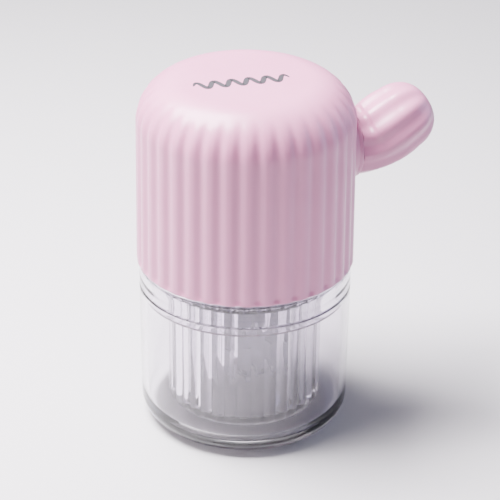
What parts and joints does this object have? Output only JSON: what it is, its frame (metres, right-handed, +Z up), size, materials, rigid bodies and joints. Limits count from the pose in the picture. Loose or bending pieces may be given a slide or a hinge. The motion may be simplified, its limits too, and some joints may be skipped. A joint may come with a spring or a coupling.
{
  "type": "contact lens case",
  "caption": "Hand-cranked contact lens washing case: a clear tub, a screw-on fluted cap with a cactus-arm crank, and a geared lens frame with hinged baskets.",
  "frame": {"origin": "centre of the tub's flat underside", "axes": "+Z up along the tub's and the cap's axis; +X along the crank's axis, towards the arm"},
  "size_m": [0.0678, 0.048, 0.081],
  "materials": {
    "pink_plastic": "satin moulded ABS, pale pink with a lilac cast",
    "clear_plastic": "clear polished styrene or acrylic",
    "frame_plastic": "clear moulded polypropylene, slightly hazy",
    "liner_plastic": "white moulded plastic",
    "gear_plastic": "natural acetal, slightly waxy",
    "silicone": "translucent white silicone",
    "steel": "turned stainless steel"
  },
  "bodies": {
    "tub": {"outer_shell": "clear_plastic", "inner_cup": "clear_plastic"},
    "gasket_ring": {"gasket": "silicone"},
    "cap": {"cap_shell": "pink_plastic", "cap_liner": "liner_plastic", "shaft_bush": "gear_plastic", "shaft_seal": "silicone", "crank_bush": "gear_plastic", "bearing_bracket": "liner_plastic", "bracket_screws": "steel"},
    "crank": {"crank_arm": "pink_plastic", "crank_arm_plate": "pink_plastic", "crank_shaft": "steel", "crank_screw": "steel", "crown_gear": "gear_plastic", "crank_washer": "steel"},
    "rotor": {"drive_pinion": "gear_plastic", "drive_washer": "steel", "drive_shaft": "steel", "shaft_clip": "steel", "cross_pin": "steel", "lens_frame": "frame_plastic", "right_hinge_pin": "steel", "left_hinge_pin": "steel"},
    "right_door": {"right_basket_door": "frame_plastic"},
    "left_door": {"left_basket_door": "frame_plastic"}
  },
  "joints": [
    {"name": "cap_lift", "type": "slide", "parent": "tub", "child": "gasket_ring", "axis": [0, 0, 1], "range_m": [0, 0.0481]},
    {"name": "cap_turn", "type": "hinge", "parent": "gasket_ring", "child": "cap", "pos_m": [0, 0, 0.0386], "axis": [0, 0, 1], "range_deg": [0, 1440]},
    {"name": "crank_spin", "type": "hinge", "parent": "cap", "child": "crank", "pos_m": [0, 0, 0.0625], "axis": [1, 0, 0], "continuous": true},
    {"name": "rotor_spin", "type": "hinge", "parent": "cap", "child": "rotor", "pos_m": [0, 0, 0.0529], "axis": [0, 0, 1], "continuous": true},
    {"name": "right_door_hinge", "type": "hinge", "parent": "rotor", "child": "right_door", "pos_m": [0.0065, 0, 0.0096], "axis": [0, 1, 0], "range_deg": [0, 20]},
    {"name": "left_door_hinge", "type": "hinge", "parent": "rotor", "child": "left_door", "pos_m": [-0.0065, 0, 0.0096], "axis": [0, -1, 0], "range_deg": [0, 20]}
  ],
  "couplings": [
    {"joint": "cap_lift", "follows": "cap_turn", "m_per_rad": 0.0019099},
    {"joint": "rotor_spin", "follows": "crank_spin", "ratio": 2}
  ]
}
